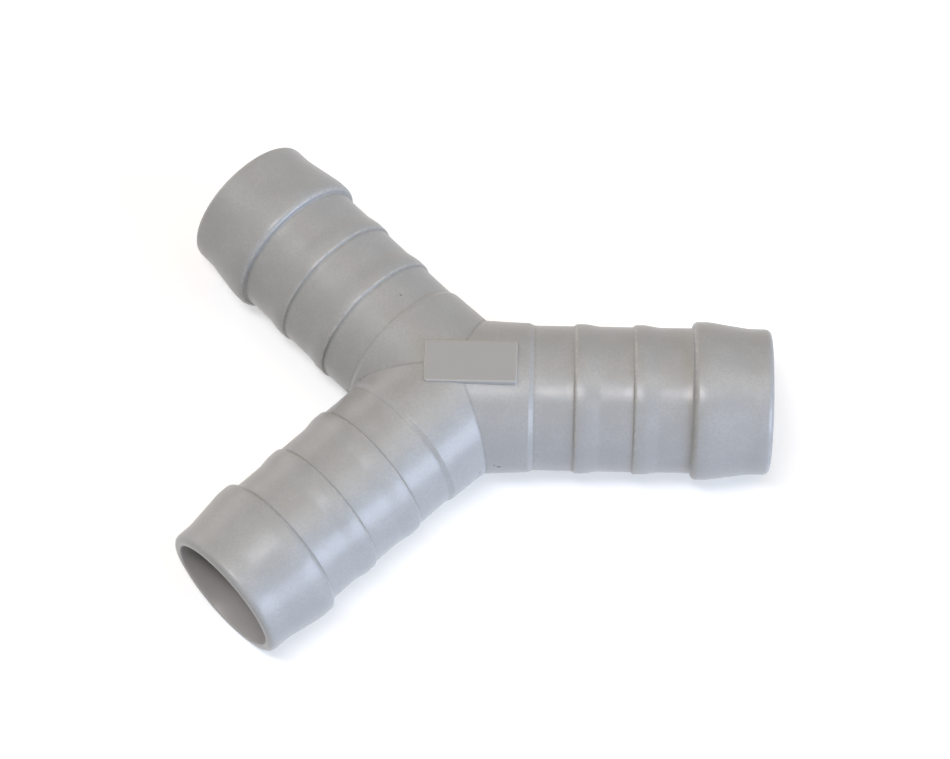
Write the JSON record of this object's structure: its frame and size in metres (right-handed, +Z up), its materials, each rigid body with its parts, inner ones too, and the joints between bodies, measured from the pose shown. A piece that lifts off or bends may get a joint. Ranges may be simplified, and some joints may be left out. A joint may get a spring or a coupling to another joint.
{
  "type": "tubing y connector",
  "caption": "Hollow Y-shaped connector with barbed tails, which joins flexible hoses and splits or merges their flow through a shared hub.",
  "frame": {"origin": "middle of the outline, seen from above, at the height of the surface that the connector lies on", "axes": "+X along the stem towards its mouth, +Z up through the pad on the crown; the branches lean back to +Y and -Y, each 45 degrees off the -X direction"},
  "size_m": [0.0766, 0.071, 0.0207],
  "materials": {
    "moulded_plastic": "satin, as moulded"
  },
  "bodies": {
    "root": {"y_connector": "moulded_plastic"}
  },
  "joints": []
}
